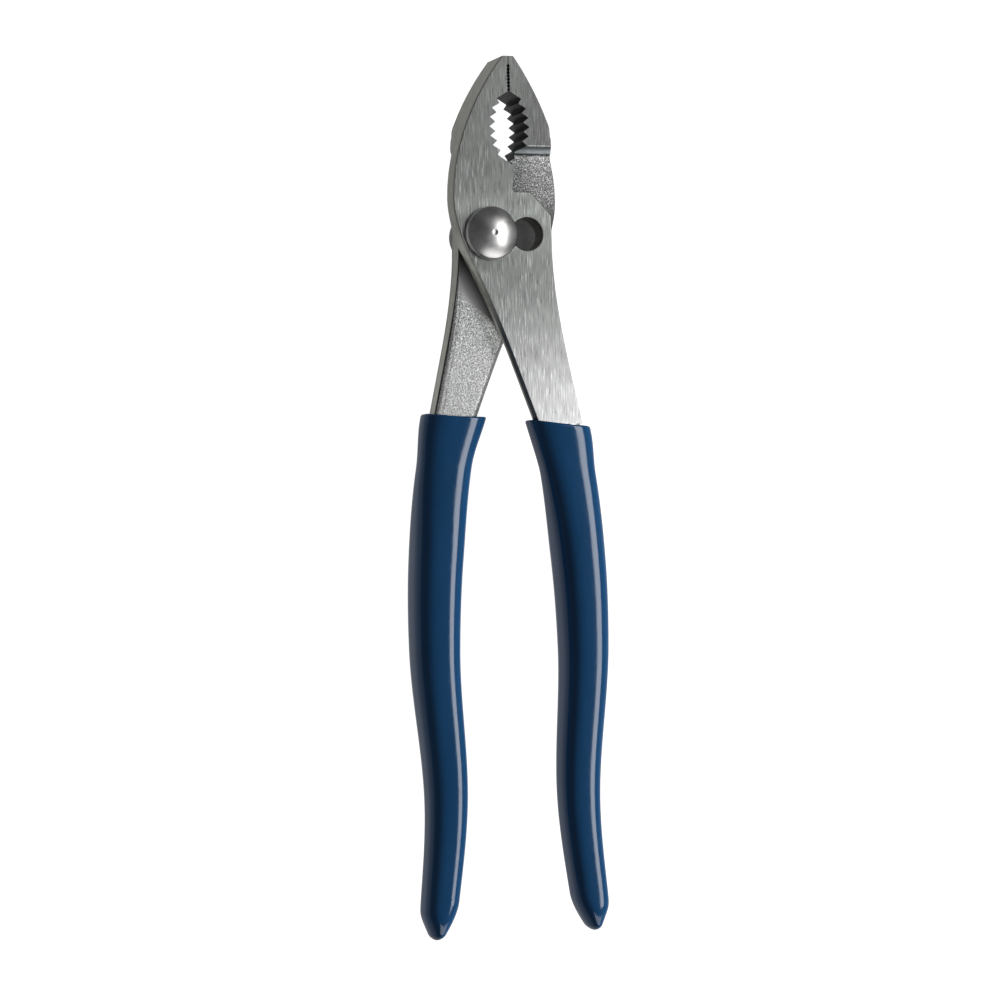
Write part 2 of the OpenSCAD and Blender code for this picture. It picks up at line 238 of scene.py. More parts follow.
# %% [markdown]
# ## Patterns by place
# All patterns read Object coordinates, so each keeps its place on the steel when a lever swings. A noise
# stretched along one axis draws lines. A place along a direction, from 0 where it starts to 1 where it
# stops, lets a tone change down the tool. The distance from the lap plane, where the two levers touch,
# does the same through the thickness, and it is alike for both levers, because one is the other turned
# over.

# %% Helpers that read a place on the piece
NOSEWARD, RIGHTWARD = (0.0, 1.0, 0.0), (1.0, 0.0, 0.0)


def object_place(tree):
    return add(tree, "ShaderNodeTexCoord").outputs["Object"]


def stretched_noise(tree, stretch, detail=4.0, rough=0.6):
    sizes = {"Vector": object_place(tree), "Scale": stretch}
    scaled = add(tree, "ShaderNodeMapping", sizes).outputs["Vector"]
    values = {"Vector": scaled, "Scale": 1.0, "Detail": detail, "Roughness": rough}
    return add(tree, "ShaderNodeTexNoise", values).outputs["Fac"]


def share_between(tree, value, start_mm, stop_mm):
    limits = {"Value": value, "From Min": start_mm * MM, "From Max": stop_mm * MM}
    return add(tree, "ShaderNodeMapRange", limits).outputs[0]


def share_along(tree, direction, start_mm, stop_mm):
    reach = add(tree, "ShaderNodeVectorMath", {0: object_place(tree), 1: direction}, operation="DOT_PRODUCT")
    return share_between(tree, reach.outputs["Value"], start_mm, stop_mm)


def share_from_lap(tree, reach_mm):
    height = add(tree, "ShaderNodeSeparateXYZ", {"Vector": object_place(tree)}).outputs["Z"]
    above = add(tree, "ShaderNodeMath", {0: height, 1: LAP_Z * MM}, operation="SUBTRACT").outputs[0]
    away = add(tree, "ShaderNodeMath", {0: above}, operation="ABSOLUTE").outputs[0]
    return share_between(tree, away, 0.0, reach_mm)


def bump(tree, height, strength, depth_mm):
    values = {"Height": height, "Strength": strength, "Distance": depth_mm * MM}
    return add(tree, "ShaderNodeBump", values).outputs["Normal"]


print("patterns run nosewards", NOSEWARD, "and rightwards", RIGHTWARD)

# %% [markdown]
# ## Ground steel
# The flats of the levers are ground on a belt, which leaves fine lines along the tool. A noise that is
# squeezed across the tool and stretched along it draws them. They could be an image, but a noise never
# repeats and needs no file. Bright glints in the lines are painted highlights, which come in patches and
# are strongest near the joint, and elsewhere the lines stay calm. The base tone is a painted reflection,
# dim at the jaws, which mirror a dark part of the room, and bright at the end of the neck. The rear jaw is
# darker than the front one.

# %% Mix ground steel
def ground_steel():
    finish, tree, shader = recipe("ground_steel")
    lines = stretched_noise(tree, (4000, 230, 1200), detail=3.0)
    patches = stretched_noise(tree, (420, 110, 200), detail=2.0)
    # painted highlight: tones above 1 make bright glints in the grain lines, in patches, strongest near the
    # joint
    glint = ramp(tree, lines, [(0.30, 0.66), (0.50, 0.86), (0.57, 1.25), (0.66, 2.5)])
    calm = ramp(tree, lines, [(0.30, 0.84), (0.50, 0.97), (0.68, 1.2)])
    glint_patches = ramp(tree, patches, [(0.40, 0.1), (0.60, 1.0)])
    most_at_joint = ramp(tree, share_along(tree, NOSEWARD, 30, -44),
                         [(0.0, 0.15), (0.3, 0.7), (0.55, 0.9), (0.7, 0.55), (1.0, 0.2)])
    streak = mixed(tree, multiplied(tree, glint_patches, most_at_joint), calm, glint)
    # painted reflection: the base tone is dim at the jaws, which mirror a dark part of the room, and bright
    # down the neck
    base = ramp(tree, share_along(tree, NOSEWARD, 14, -46),
                [(0.0, grey(0.28, 0.04)), (0.12, grey(0.36, 0.04)), (0.4, grey(0.30, 0.04)),
                 (0.6, grey(0.42, 0.02)), (0.85, grey(0.71)), (1.0, grey(0.84))])
    in_rear_jaw = multiplied(tree, share_along(tree, RIGHTWARD, 5, 12), share_along(tree, NOSEWARD, 15, 22))
    toned = mixed(tree, in_rear_jaw, base, (*grey(0.19, 0.02), 1))
    wire(tree, shader, {"Base Color": multiplied(tree, toned, streak), "Metallic": 1.0,
                        "Roughness": ramp(tree, lines, [(0.3, 0.26), (0.7, 0.38)]),
                        "Normal": bump(tree, lines, 0.2, 0.015)})
    return finish


ground = told(ground_steel())

# %% [markdown]
# ## Recess steel
# Below the shoulder of a jaw the lap keeps the skin of the forging. It is cleaned by blasting with shot,
# which leaves pebbles about a quarter of a millimetre wide. A noise with round pits mixed in makes them,
# once as tone and once as bump. Displacement could raise them, but at this size a bump looks the same and
# adds no faces. The tone is painted shade, darkest on the left at the foot of the ledge and low down
# towards the bolt, and lighter towards the jaw and towards the edge. By the bolt the laps rub on each
# other, so there the pebbles are worn away.

# %% Mix recess steel
PITS_PER_METRE, PIT_SHARE = 3300.0, 0.25


def pebbles(tree, grain_mm, turn_deg=0):
    place = object_place(tree)
    sizes = {"Vector": place, "Rotation": (0, 0, math.radians(turn_deg)),
             "Scale": tuple(size * MM for size in grain_mm)}
    laid = add(tree, "ShaderNodeMapping", sizes, vector_type="TEXTURE").outputs["Vector"]
    values = {"Vector": laid, "Scale": 1.0, "Detail": 3.0, "Roughness": 0.6}
    grains = add(tree, "ShaderNodeTexNoise", values).outputs["Fac"]
    pits = add(tree, "ShaderNodeTexVoronoi", {"Vector": place, "Scale": PITS_PER_METRE}).outputs["Distance"]
    return add(tree, "ShaderNodeMix", {0: PIT_SHARE, 2: grains, 3: pits}, data_type="FLOAT").outputs[0]


def recess_steel():
    finish, tree, shader = recipe("recess_steel")
    skin = pebbles(tree, (0.23, 0.30, 0.25))
    grit = ramp(tree, skin, [(0.32, 0.03), (0.42, 0.30), (0.53, 0.9), (0.62, 2.3)])
    # painted shade: darker on the left at the foot of the ledge and low down towards the bolt
    across = ramp(tree, share_along(tree, RIGHTWARD, 5.5, 14.5),
                  [(0.0, grey(0.145, 0.02)), (0.5, grey(0.215, 0.02)), (1.0, grey(0.30))])
    upward = ramp(tree, share_along(tree, NOSEWARD, 3.5, 19.5),
                  [(0.0, 0.42), (0.4, 0.9), (0.7, 1.0), (1.0, 1.35)])
    by_bolt = share_along(tree, NOSEWARD, 8, 5)
    worn_grit = mixed(tree, ramp(tree, by_bolt, [(0.0, 0.0), (1.0, 0.85)]), grit, (*grey(0.7), 1))
    relief = ramp(tree, by_bolt, [(0.0, 0.5), (1.0, 0.1)])
    wire(tree, shader, {"Base Color": multiplied(tree, multiplied(tree, across, upward), worn_grit),
                        "Metallic": 1.0, "Roughness": 0.42, "Normal": bump(tree, skin, relief, 0.1)})
    return finish


recess = told(recess_steel())

# %% [markdown]
# ## Neck steel
# The face of each neck that the other lever crosses has the same skin, with longer grains that lie askew.
# Where that lever sweeps, the skin is rubbed smooth, and a slanting line parts the two. The dark tone there
# is painted shade, deepest under the other lever and towards the bolt, and the forged skin along that lever
# gets a painted shadow too. Two dot products give that line and the depth under the other lever, so no mask
# has to be painted. Towards the sleeve the grain is worn softer.

# %% Mix neck steel
PAST_RUB_LINE, UNDER_LEVER = (0.876, 1.0, 0.0), (1.0, 0.48, 0.0)


def neck_steel():
    finish, tree, shader = recipe("neck_steel")
    skin = pebbles(tree, (0.21, 0.48, 0.26), turn_deg=-38)
    grit = ramp(tree, skin, [(0.31, 0.06), (0.43, 0.42), (0.53, 0.95), (0.62, 1.7)])
    rubbed_and_painted_dark = share_along(tree, PAST_RUB_LINE, -20.3, -18.2)
    depth = share_along(tree, UNDER_LEVER, -12.0, -6.0)
    # painted shade: the rubbed zone darkens under the other lever's edge and towards the bolt
    painted_shade_under_lever = ramp(tree, depth, [(0.0, grey(0.40)), (0.3, grey(0.21)), (0.55, grey(0.08)),
                               (0.8, grey(0.035)), (1.0, grey(0.026))])
    dim_by_bolt = ramp(tree, share_along(tree, NOSEWARD, -5, -16), [(0.0, 0.25), (1.0, 1.0)])
    base = ramp(tree, share_along(tree, NOSEWARD, -14, -30),
                [(0.0, grey(0.44, 0.02)), (1.0, grey(0.54, 0.01))])
    # painted shadow: the forged skin darkens along the other lever's edge
    shaded = multiplied(tree, base, ramp(tree, depth, [(0.55, 1.0), (0.95, 0.42)]))
    worn = ramp(tree, share_along(tree, NOSEWARD, -16, -34), [(0.0, 0.05), (1.0, 0.3)])
    forged = multiplied(tree, shaded, mixed(tree, worn, grit, (1, 1, 1, 1)))
    relief = add(tree, "ShaderNodeMapRange", {"Value": rubbed_and_painted_dark, "To Min": 0.55, "To Max": 0.06}).outputs[0]
    wire(tree, shader, {"Base Color": mixed(tree, rubbed_and_painted_dark, forged, multiplied(tree, painted_shade_under_lever, dim_by_bolt)),
                        "Metallic": 1.0, "Roughness": 0.42, "Normal": bump(tree, skin, relief, 0.12)})
    return finish


neck = told(neck_steel())

# %% [markdown]
# ## Side steel
# The narrow sides of the forgings are smooth and a little warm, with a soft haze. Painted light brightens
# them down the necks, and painted shade darkens them towards the ground flat, where the edge rolls over.
# One recipe serves both sides of a neck. The inner side faces the other handle and has its dark image in it,
# so its outer half is toned a dark blue further down.

# %% Mix side steel
LAP_TO_FLAT = 5.05
HANDLE_MIRROR = (0.055, 0.065, 0.08, 1)


def side_steel(name, stops, mirrors_handle=False):
    finish, tree, shader = recipe(name)
    haze = stretched_noise(tree, (900, 260, 900))
    shade = ramp(tree, haze, [(0.3, (0.22, 0.22, 0.20)), (0.7, (0.35, 0.35, 0.32))])
    # painted light: brighter down the necks
    lift = ramp(tree, share_along(tree, NOSEWARD, 0, -40), stops)
    through = share_from_lap(tree, LAP_TO_FLAT)
    # painted shade: darker towards the ground flat, where the edge rolls over
    edges = ramp(tree, through, [(0.0, 1.2), (0.6, 1.3), (0.82, 1.1), (0.93, 0.7), (1.0, 0.3)])
    toned = multiplied(tree, multiplied(tree, shade, lift), edges)
    if mirrors_handle:
        outer_half = ramp(tree, through, [(0.38, 0.0), (0.6, 1.0)])
        dark = multiplied(tree, outer_half, share_along(tree, NOSEWARD, -8, -24))
        toned = mixed(tree, dark, toned, HANDLE_MIRROR)
    wire(tree, shader, {"Base Color": toned, "Metallic": 1.0, "Normal": bump(tree, haze, 0.1, 0.05),
                        "Roughness": ramp(tree, haze, [(0.3, 0.36), (0.7, 0.48)])})
    return finish


side = told(side_steel("side_steel", [(0.0, 1.0), (0.5, 1.2), (1.0, 1.5)]))
inner_side = told(side_steel("inner_side_steel", [(0.0, 1.0), (0.2, 1.8), (0.4, 1.9), (1.0, 1.5)],
                             mirrors_handle=True))

# %% [markdown]
# ## Shoulder steel
# The shoulder is the step from the thick jaw down to the thin lap. It leans and ends in a hollow fillet,
# so it mirrors a different part of the room at each height: dark at the foot, bluish light in between,
# dark at the brow. A plain mirror would show these bands from one view only, so a ramp through the
# thickness paints them in.

# %% Mix shoulder steel
LAP_TO_BROW = 5.0


def shoulder_steel():
    finish, tree, shader = recipe("shoulder_steel")
    haze = stretched_noise(tree, (700, 700, 1500))
    shade = ramp(tree, share_from_lap(tree, LAP_TO_BROW),
                 [(0.20, (0.10, 0.11, 0.115)), (0.34, (0.74, 0.80, 0.82)), (0.55, (0.64, 0.71, 0.74)),
                  (0.84, (0.16, 0.17, 0.175)), (0.93, (0.05, 0.05, 0.05))])
    streak = ramp(tree, haze, [(0.3, 0.8), (0.7, 1.2)])
    wire(tree, shader, {"Base Color": multiplied(tree, shade, streak), "Metallic": 1.0, "Roughness": 0.36,
                        "Normal": bump(tree, haze, 0.15, 0.05)})
    return finish


shoulder = told(shoulder_steel())

# %% [markdown]
# ## Tooth black
# Black oxide from hardening stays where no belt reaches, between the teeth of the jaws. The same black is
# painted shade on the rounded corners of the ledge and of the necks, where it draws a dark line. It is only
# partly a metal, and its grain runs through the thickness, the way that the teeth are cut. A plain colour
# would look like paint, so a noise breaks it up.

# %% Mix tooth black
def tooth_black():
    finish, tree, shader = recipe("tooth_black")
    grain = stretched_noise(tree, (1500, 1500, 250), detail=3.0)
    shade = ramp(tree, grain, [(0.3, (0.012, 0.013, 0.013)), (0.7, (0.05, 0.05, 0.048))])
    wire(tree, shader, {"Base Color": shade, "Metallic": 0.6, "Roughness": 0.45,
                        "Normal": bump(tree, grain, 0.2, 0.03)})
    return finish


black = told(tooth_black())

# %% [markdown]
# ## Polished steel and dipped plastic
# The bolt's head is polished, with a faint unevenness from handling, and the nut at the back is a darker
# steel of the same kind. The sleeves are made by dipping the handles in liquid plastic, which runs a
# little before it sets, so their gloss has a slow wave along the handle and a fine peel. Noise in the
# roughness and the bump gives both without a change to the mesh.

# %% Mix polished steel and dipped plastic
def polished_steel(name, dark, light):
    finish, tree, shader = recipe(name)
    swirl = stretched_noise(tree, (260, 260, 260), detail=3.0, rough=0.5)
    wire(tree, shader, {"Base Color": ramp(tree, swirl, [(0.3, dark), (0.7, light)]), "Metallic": 1.0,
                        "Roughness": ramp(tree, swirl, [(0.3, 0.29), (0.7, 0.37)])})
    return finish


def dipped_plastic():
    finish, tree, shader = recipe("dipped_plastic")
    flow = stretched_noise(tree, (160, 45, 160), detail=2.0)
    peel = stretched_noise(tree, (900, 700, 900), detail=2.0)
    shade = ramp(tree, flow, [(0.3, (0.0080, 0.062, 0.165)), (0.7, (0.0100, 0.070, 0.185))])
    wire(tree, shader, {"Base Color": shade, "Roughness": ramp(tree, peel, [(0.3, 0.09), (0.7, 0.14)]),
                        "Normal": bump(tree, flow, 0.12, 0.2), "IOR": 1.45, "Specular IOR Level": 0.4})
    return finish


polished = told(polished_steel("polished_steel", (0.33, 0.325, 0.32), (0.46, 0.455, 0.45)))
darkened = told(polished_steel("darkened_steel", grey(0.13), grey(0.20)))
plastic = told(dipped_plastic())

# %% [markdown]
# ## The levers: which edges are round
# A forging has no sharp edge. A Bevel modifier could round all edges alike, but the real ones differ: the
# brow above the shoulder is the softest, the outline is narrowly rounded, the big teeth are nearly sharp
# and the fine ones sharp. So each edge gets a weight by its place. Both levers share one rule, because
# the rear lever is the front one turned over: what is on the right of one is on the left of the other.

# %% Weigh the edges
CORNER = math.radians(28)
JAW_FROM, TEETH_FROM, FINE_TEETH_FROM = 13, 15.2, 33.2
NECK_START, NECK_START_NEAR, SLEEVE_FROM = (-12, 3), 1.4, -42
BROW_FROM, BROW_TILT = 4.9, -0.6
UPRIGHT, TO_PARTING = 0.3, 0.05
SHARP, TOOTH_ROUND, PLAIN_ROUND, BROW_ROUND = 0.0, 0.12, 0.4, 1.0


def within(value, span):
    return span[0] < value < span[1]


def own_side(node):
    return 1 if node == "front_lever" else -1


def faces_parting(node, normal):
    return abs(normal.z) < UPRIGHT and normal.x * own_side(node) > TO_PARTING


def edge_weight(node, edge):
    a, b = (v.co / MM for v in edge.verts)
    middle = (a + b) / 2
    from_lap = abs(middle.z - LAP_Z)
    in_jaw = middle.y > TEETH_FROM and any(faces_parting(node, face.normal) for face in edge.link_faces)
    below_jaw = middle.y > JAW_FROM and any(face.normal.y < BROW_TILT for face in edge.link_faces)
    at_neck_start = within(middle.y, NECK_START) and from_lap < NECK_START_NEAR
    if (in_jaw and middle.y > FINE_TEETH_FROM) or at_neck_start or middle.y < SLEEVE_FROM:
        return SHARP
    if below_jaw and not in_jaw and from_lap > BROW_FROM:
        return BROW_ROUND
    return TOOTH_ROUND if in_jaw else PLAIN_ROUND


print("corners over", round(math.degrees(CORNER)), "degrees are weighed")

# %% [markdown]
# ## The levers: rounding
# The frame's mesh is loose triangles, so a copy is merged and its flat triangles are joined into faces. A
# slanting plane cuts each lever where the recess gives way to the neck, so that the two finishes can meet
# along it. Then the Bevel modifier reads the weights, and its result is kept as a plain mesh.

# %% Dress both levers
LEVER_BODIES = {"front_lever": "front", "rear_lever": "rear"}
SPLIT_AT, SPLIT_LEAN = 6.55, 0.5
MERGE_WITHIN, CUT_WITHIN, FLAT_WITHIN = 2e-6, 1e-6, math.radians(0.5)
EDGE_ROUND, ROUND_STEPS = 0.7, 3


def split_skin(work, node):
    flip = own_side(node)
    everything = work.verts[:] + work.edges[:] + work.faces[:]
    cut = bmesh.ops.bisect_plane(work, geom=everything, plane_co=((SLOT_MID + flip * SPLIT_AT) * MM, 0, 0),
                                 plane_no=(flip, -SPLIT_LEAN, 0), dist=CUT_WITHIN)
    for item in cut["geom_cut"]:
        if isinstance(item, bmesh.types.BMEdge):
            item.seam = True


def weigh_edges(work, node):
    weights = work.edges.layers.float.new("bevel_weight_edge")
    for edge in work.edges:
        if len(edge.link_faces) == 2 and edge.calc_face_angle() > CORNER:
            edge[weights] = edge_weight(node, edge)
            edge.smooth = edge[weights] > 0


def made_plain(piece):
    depsgraph = bpy.context.evaluated_depsgraph_get()
    ready = piece.evaluated_get(depsgraph)
    plain = bpy.data.meshes.new_from_object(ready, preserve_all_data_layers=True, depsgraph=depsgraph)
    old = piece.data
    piece.modifiers.clear()
    piece.data = plain
    bpy.data.meshes.remove(old)
    return piece


def dressed_lever(node):
    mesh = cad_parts[node].data.copy()
    work = bmesh.new()
    work.from_mesh(mesh)
    bmesh.ops.remove_doubles(work, verts=work.verts, dist=MERGE_WITHIN)
    split_skin(work, node)
    bmesh.ops.dissolve_limit(work, angle_limit=FLAT_WITHIN, verts=work.verts, edges=work.edges,
                             delimit={"NORMAL", "SEAM"})
    weigh_edges(work, node)
    for face in work.faces:
        face.smooth = True
    work.to_mesh(mesh)
    work.free()
    mesh.materials.clear()
    lever = bpy.data.objects.new(node + "_dressed", mesh)
    scene.collection.objects.link(lever)
    rounding = lever.modifiers.new("edge_round", "BEVEL")
    rounding.limit_method = "WEIGHT"
    rounding.width = EDGE_ROUND * MM
    rounding.segments = ROUND_STEPS
    rounding.use_clamp_overlap = False
    return made_plain(lever)


levers = {node: dressed_lever(node) for node in LEVER_BODIES}
for lever in levers.values():
    print(lever.name, len(lever.data.polygons), "faces")

# %% [markdown]
# ## The levers: a finish for each face
# A maker finishes a forging by region: the flats are ground, the laps keep their skin, the teeth stay
# black. A face tells its region by where its middle lies and which way it looks, in the lever's own
# frame, so nothing has to be picked by hand and both levers follow the same rule.

# %% Paint both levers
lever_finishes = (ground, neck, recess, side, inner_side, shoulder, black)
GROUND, NECK, RECESS, SIDE, INNER_SIDE, SHOULDER, BLACK = range(len(lever_finishes))
TEETH_Y, TEETH_REACH = (15, 39.7), 5.4
LEDGE_Y, LEDGE_X, LEDGE_TILT = (3.5, 17.5), 0.5, (0.2, 0.93)
NECK_Y, OUTER_CORNER, INNER_CORNER = (-46, -1), (0.3, 0.6), (0.3, 0.42)
BROW_Z, FLAT_Z = 4.35, 4.7
LOOKS_DOWN, LOOKS_OUT, LOOKS_BACK, LOOKS_IN = -0.3, 0.9, -0.6, -0.3
FILLET_TILT = 0.55


def finish_of(node, middle, normal):
    flip = own_side(node)
    x, y, z = (middle.x - SLOT_MID) * flip, middle.y, (middle.z - LAP_Z) * flip
    across, outward = normal.x * flip, normal.z * flip
    if within(y, TEETH_Y) and abs(middle.x - PARTING_X) < TEETH_REACH and faces_parting(node, normal):
        return BLACK
    if y > JAW_FROM and normal.y < LOOKS_DOWN:
        if abs(z) > BROW_Z:
            return GROUND
        return RECESS if abs(outward) > FILLET_TILT else SHOULDER
    # painted shade: the rounded corners of the ledge and of the necks take the black finish as a dark line
    on_ledge = within(y, LEDGE_Y) and x > LEDGE_X and within(outward, LEDGE_TILT)
    on_neck_corner = within(y, NECK_Y) and within(-outward, OUTER_CORNER if across > 0 else INNER_CORNER)
    if on_ledge or on_neck_corner:
        return BLACK
    if abs(outward) > LOOKS_OUT and abs(z) > FLAT_Z:
        return GROUND
    if outward < LOOKS_BACK:
        return RECESS if x < SPLIT_AT + SPLIT_LEAN * y else NECK
    return INNER_SIDE if y < 0 and across < LOOKS_IN else SIDE


for node, lever in levers.items():
    counts = dict.fromkeys((finish.name for finish in lever_finishes), 0)
    for finish in lever_finishes:
        lever.data.materials.append(finish)
    for face in lever.data.polygons:
        face.material_index = finish_of(node, face.center / MM, face.normal)
        counts[lever_finishes[face.material_index].name] += 1
    print(lever.name, "faces by finish", counts)

# %% [markdown]
# ## The levers: steady shading
# A bevel next to a large flat makes the flat shade as if it were curved. So each corner of a face gets
# its own normal: the mean of the faces near it, weighed by area, and a flat keeps its own. A Weighted
# Normal modifier does nearly the same, but it can't add draft. A forging has some draft, the slight lean
# that lets it leave the die. The inner side of a neck gets it in its normals, from the joint down.

# %% Set the normals of both levers
BLENDS_WITHIN, FLAT_FACE = math.cos(math.radians(50)), 0.995
DRAFT, DRAFT_FULL_AT = 0.22, 9


def corner_normal(face, around):
    if abs(face.normal.z) > FLAT_FACE:
        return face.normal.copy()
    total = Vector((0, 0, 0))
    for normal, area in around:
        if normal.dot(face.normal) > BLENDS_WITHIN:
            total += normal * area
    return total.normalized()


def steady_normals(mesh, node):
    around = [[] for _ in mesh.vertices]
    for face in mesh.polygons:
        for corner in face.vertices:
            around[corner].append((face.normal.copy(), face.area))
    normals = []
    for face in mesh.polygons:
        for corner in face.vertices:
            normal = corner_normal(face, around[corner])
            if face.material_index == INNER_SIDE:
                below_joint = -mesh.vertices[corner].co.y / MM
                normal.z += DRAFT * own_side(node) * min(max(below_joint / DRAFT_FULL_AT, 0), 1)
            normals.append(normal.normalized())
    mesh.normals_split_custom_set(normals)
    return len(normals)


for node, body in LEVER_BODIES.items():
    lever = levers[node]
    print(lever.name, steady_normals(lever.data, node), "corner normals")
    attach(lever, body)
    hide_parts(node)
    lit_levers.objects.link(lever)

# %% [markdown]
# ## The bolt's head
# The bolt and the nut are turned on a lathe, so one profile swept round the axis gives the true shape. A
# Screw modifier could sweep it, but a few loops close the pole as well. The head is a low dome on a short
# rim with a softened edge, and the lathe's centre leaves a small mark on top.

# %% Turn the head
HEAD_D, HEAD_RIM, HEAD_H, HEAD_Z = 12.5, 1.3, 3.1, 12.6
HEAD_CHAMFER, DOME_EDGE, DOME_STEPS = 0.2, 0.35, 40
RIM_INSET_AND_RISE = ((0, -0.4), (0.06, -0.1), (0.2, 0.06))
MARK_R = 0.75
MARK_RADIUS_AND_DEPTH = ((0.62, 0.03), (0.5, 0.09), (0.33, 0.15), (0.15, 0.185), (0, 0.2))
TURNED_SIDES = 96


def turned(profile, sides=TURNED_SIDES):
    work = bmesh.new()
    rings = []
    for r, z in profile:
        count = 1 if r == 0 else sides
        angles = [2 * math.pi * k / sides for k in range(count)]
        rings.append([work.verts.new((r * MM * math.cos(a), r * MM * math.sin(a), z * MM)) for a in angles])
    for below, above in zip(rings, rings[1:]):
        for k in range(sides):
            a, b = below[k % len(below)], below[(k + 1) % len(below)]
            d, c = above[k % len(above)], above[(k + 1) % len(above)]
            corners = list(dict.fromkeys((a, b, c, d)))
            if len(corners) > 2:
                work.faces.new(corners)
    bmesh.ops.recalc_face_normals(work, faces=work.faces)
    return work


def arc(cx, cz, r, start_deg, stop_deg, steps):
    angles = [math.radians(start_deg + (stop_deg - start_deg) * i / steps) for i in range(steps + 1)]
    return [(cx + r * math.cos(a), cz + r * math.sin(a)) for a in angles]


def head_profile():
    radius, dome_h = HEAD_D / 2, HEAD_H - HEAD_RIM
    dome_r = (radius ** 2 + dome_h ** 2) / (2 * dome_h)
    crown = HEAD_Z + HEAD_H
    start, stop = (math.degrees(math.acos(r / dome_r)) for r in (radius - DOME_EDGE, MARK_R))
    outline = [(0, HEAD_Z), (radius - HEAD_CHAMFER, HEAD_Z), (radius, HEAD_Z + HEAD_CHAMFER)]
    outline += [(radius - inset, HEAD_Z + HEAD_RIM + rise) for inset, rise in RIM_INSET_AND_RISE]
    outline += arc(0, crown - dome_r, dome_r, start, stop, DOME_STEPS)
    return outline + [(r, crown - depth) for r, depth in MARK_RADIUS_AND_DEPTH]


head = turned(head_profile())
print("head profile", len(head_profile()), "points,", len(head.faces), "faces")

# %% [markdown]
# ## The shank and the nut
# Below the head the shank has two flats, which let it pass the slot from seat to seat. Under the lap it
# is a plain round journal that turns in the rear lever and carries the nut. The nut is low and round,
# with a rounded outer edge. Flats can't be swept, so the shank is built from rings of points, and the nut
# from a profile like the head.

# %% Turn the shank and the nut
SHANK_D, FLATS_W, JOURNAL_D = 7.7, 5.4, 6.4
SHANK_INTO_HEAD, JOURNAL_FROM, JOURNAL_CHAMFER, SHANK_SIDES = 0.3, 0.3, 0.35, 64
NUT_R, NUT_BORE_R, NUT_H, NUT_ROUND, NUT_ROUND_STEPS = 6.1, 3.23, 2.5, 0.7, 8
NUT_LEAD, NUT_CHAMFER = 0.25, 0.2


def flatted(work, d, flats, levels):
    r, turn = d / 2, 2 * math.pi / SHANK_SIDES
    ring = [(r * math.cos(turn * k), max(-flats / 2, min(flats / 2, r * math.sin(turn * k))))
            for k in range(SHANK_SIDES)]
    rows = [[work.verts.new((x * MM * (1 - inset / r), y * MM * (1 - inset / r), z * MM)) for x, y in ring]
            for z, inset in levels]
    for below, above in zip(rows, rows[1:]):
        for k in range(SHANK_SIDES):
            after = (k + 1) % SHANK_SIDES
            work.faces.new((below[k], below[after], above[after], above[k]))
    work.faces.new(rows[0][::-1])
    work.faces.new(rows[-1])


def nut_profile():
    low, high = NUT_BORE_R + NUT_LEAD, NUT_H - NUT_CHAMFER
    return ([(NUT_BORE_R, NUT_LEAD), (low, 0)]
            + arc(NUT_R - NUT_ROUND, NUT_ROUND, NUT_ROUND, 270, 360, NUT_ROUND_STEPS)
            + [(NUT_R, high), (NUT_R - NUT_CHAMFER, NUT_H), (NUT_BORE_R + NUT_CHAMFER, NUT_H),
               (NUT_BORE_R, high), (NUT_BORE_R, NUT_LEAD)])


shank = bmesh.new()
flatted(shank, SHANK_D, FLATS_W, [(LAP_Z, 0.0), (HEAD_Z + SHANK_INTO_HEAD, 0.0)])
flatted(shank, JOURNAL_D, JOURNAL_D, [(JOURNAL_FROM, JOURNAL_CHAMFER), (JOURNAL_FROM + JOURNAL_CHAMFER, 0.0),
                                      (LAP_Z, 0.0)])
bmesh.ops.recalc_face_normals(shank, faces=shank.faces)
nut_ring = turned(nut_profile())
print("shank", len(shank.faces), "faces, nut", len(nut_ring.faces), "faces")

# %% [markdown]
# ## Bolt and nut as pieces
# The parts are copied into one mesh, the doubles are merged, and edges over 35 degrees stay crisp while
# the rest shade smooth. Both pieces ride on the pivot, and the bolt joins the collection that throws
# shadows in the levers' boxes.

# %% Make the bolt and the nut
CRISP, DOUBLES_WITHIN = math.radians(35), 1e-7


def as_piece(name, works, finish):
    mesh = bpy.data.meshes.new(name)
    whole = bmesh.new()
    for work in works:
        part = bpy.data.meshes.new("part")
        work.to_mesh(part)
        work.free()
        whole.from_mesh(part)
        bpy.data.meshes.remove(part)
    bmesh.ops.remove_doubles(whole, verts=whole.verts, dist=DOUBLES_WITHIN)
    for face in whole.faces:
        face.smooth = True
    for edge in whole.edges:
        edge.smooth = not (len(edge.link_faces) == 2 and edge.calc_face_angle() > CRISP)
    whole.to_mesh(mesh)
    whole.free()
    mesh.materials.append(finish)
    piece = bpy.data.objects.new(name, mesh)
    scene.collection.objects.link(piece)
    print(name, len(mesh.polygons), "faces")
    return piece


bolt = as_piece("bolt_turned", [head, shank], polished)
nut = as_piece("nut_turned", [nut_ring], darkened)
for piece, node in ((bolt, "pivot_bolt"), (nut, "pivot_nut")):
    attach(piece, "pivot")
    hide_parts(node)
    lit_glossy.objects.link(piece)
shadow_makers.objects.link(bolt)

# %% [markdown]
# ## The handle's rule
# A handle spreads from the rim to a belly, draws in to a waist and spreads again to its end. Three
# Hermite curves pass through those places with set slopes. A curve could be drawn by eye, but this rule
# is the solid model's own, so the sleeve fits its tang. The steel tang inside narrows all the way and is
# thickest about a third of the way down. d is the distance from the bolt down the tool, and offsets are
# from the middle of the slot.

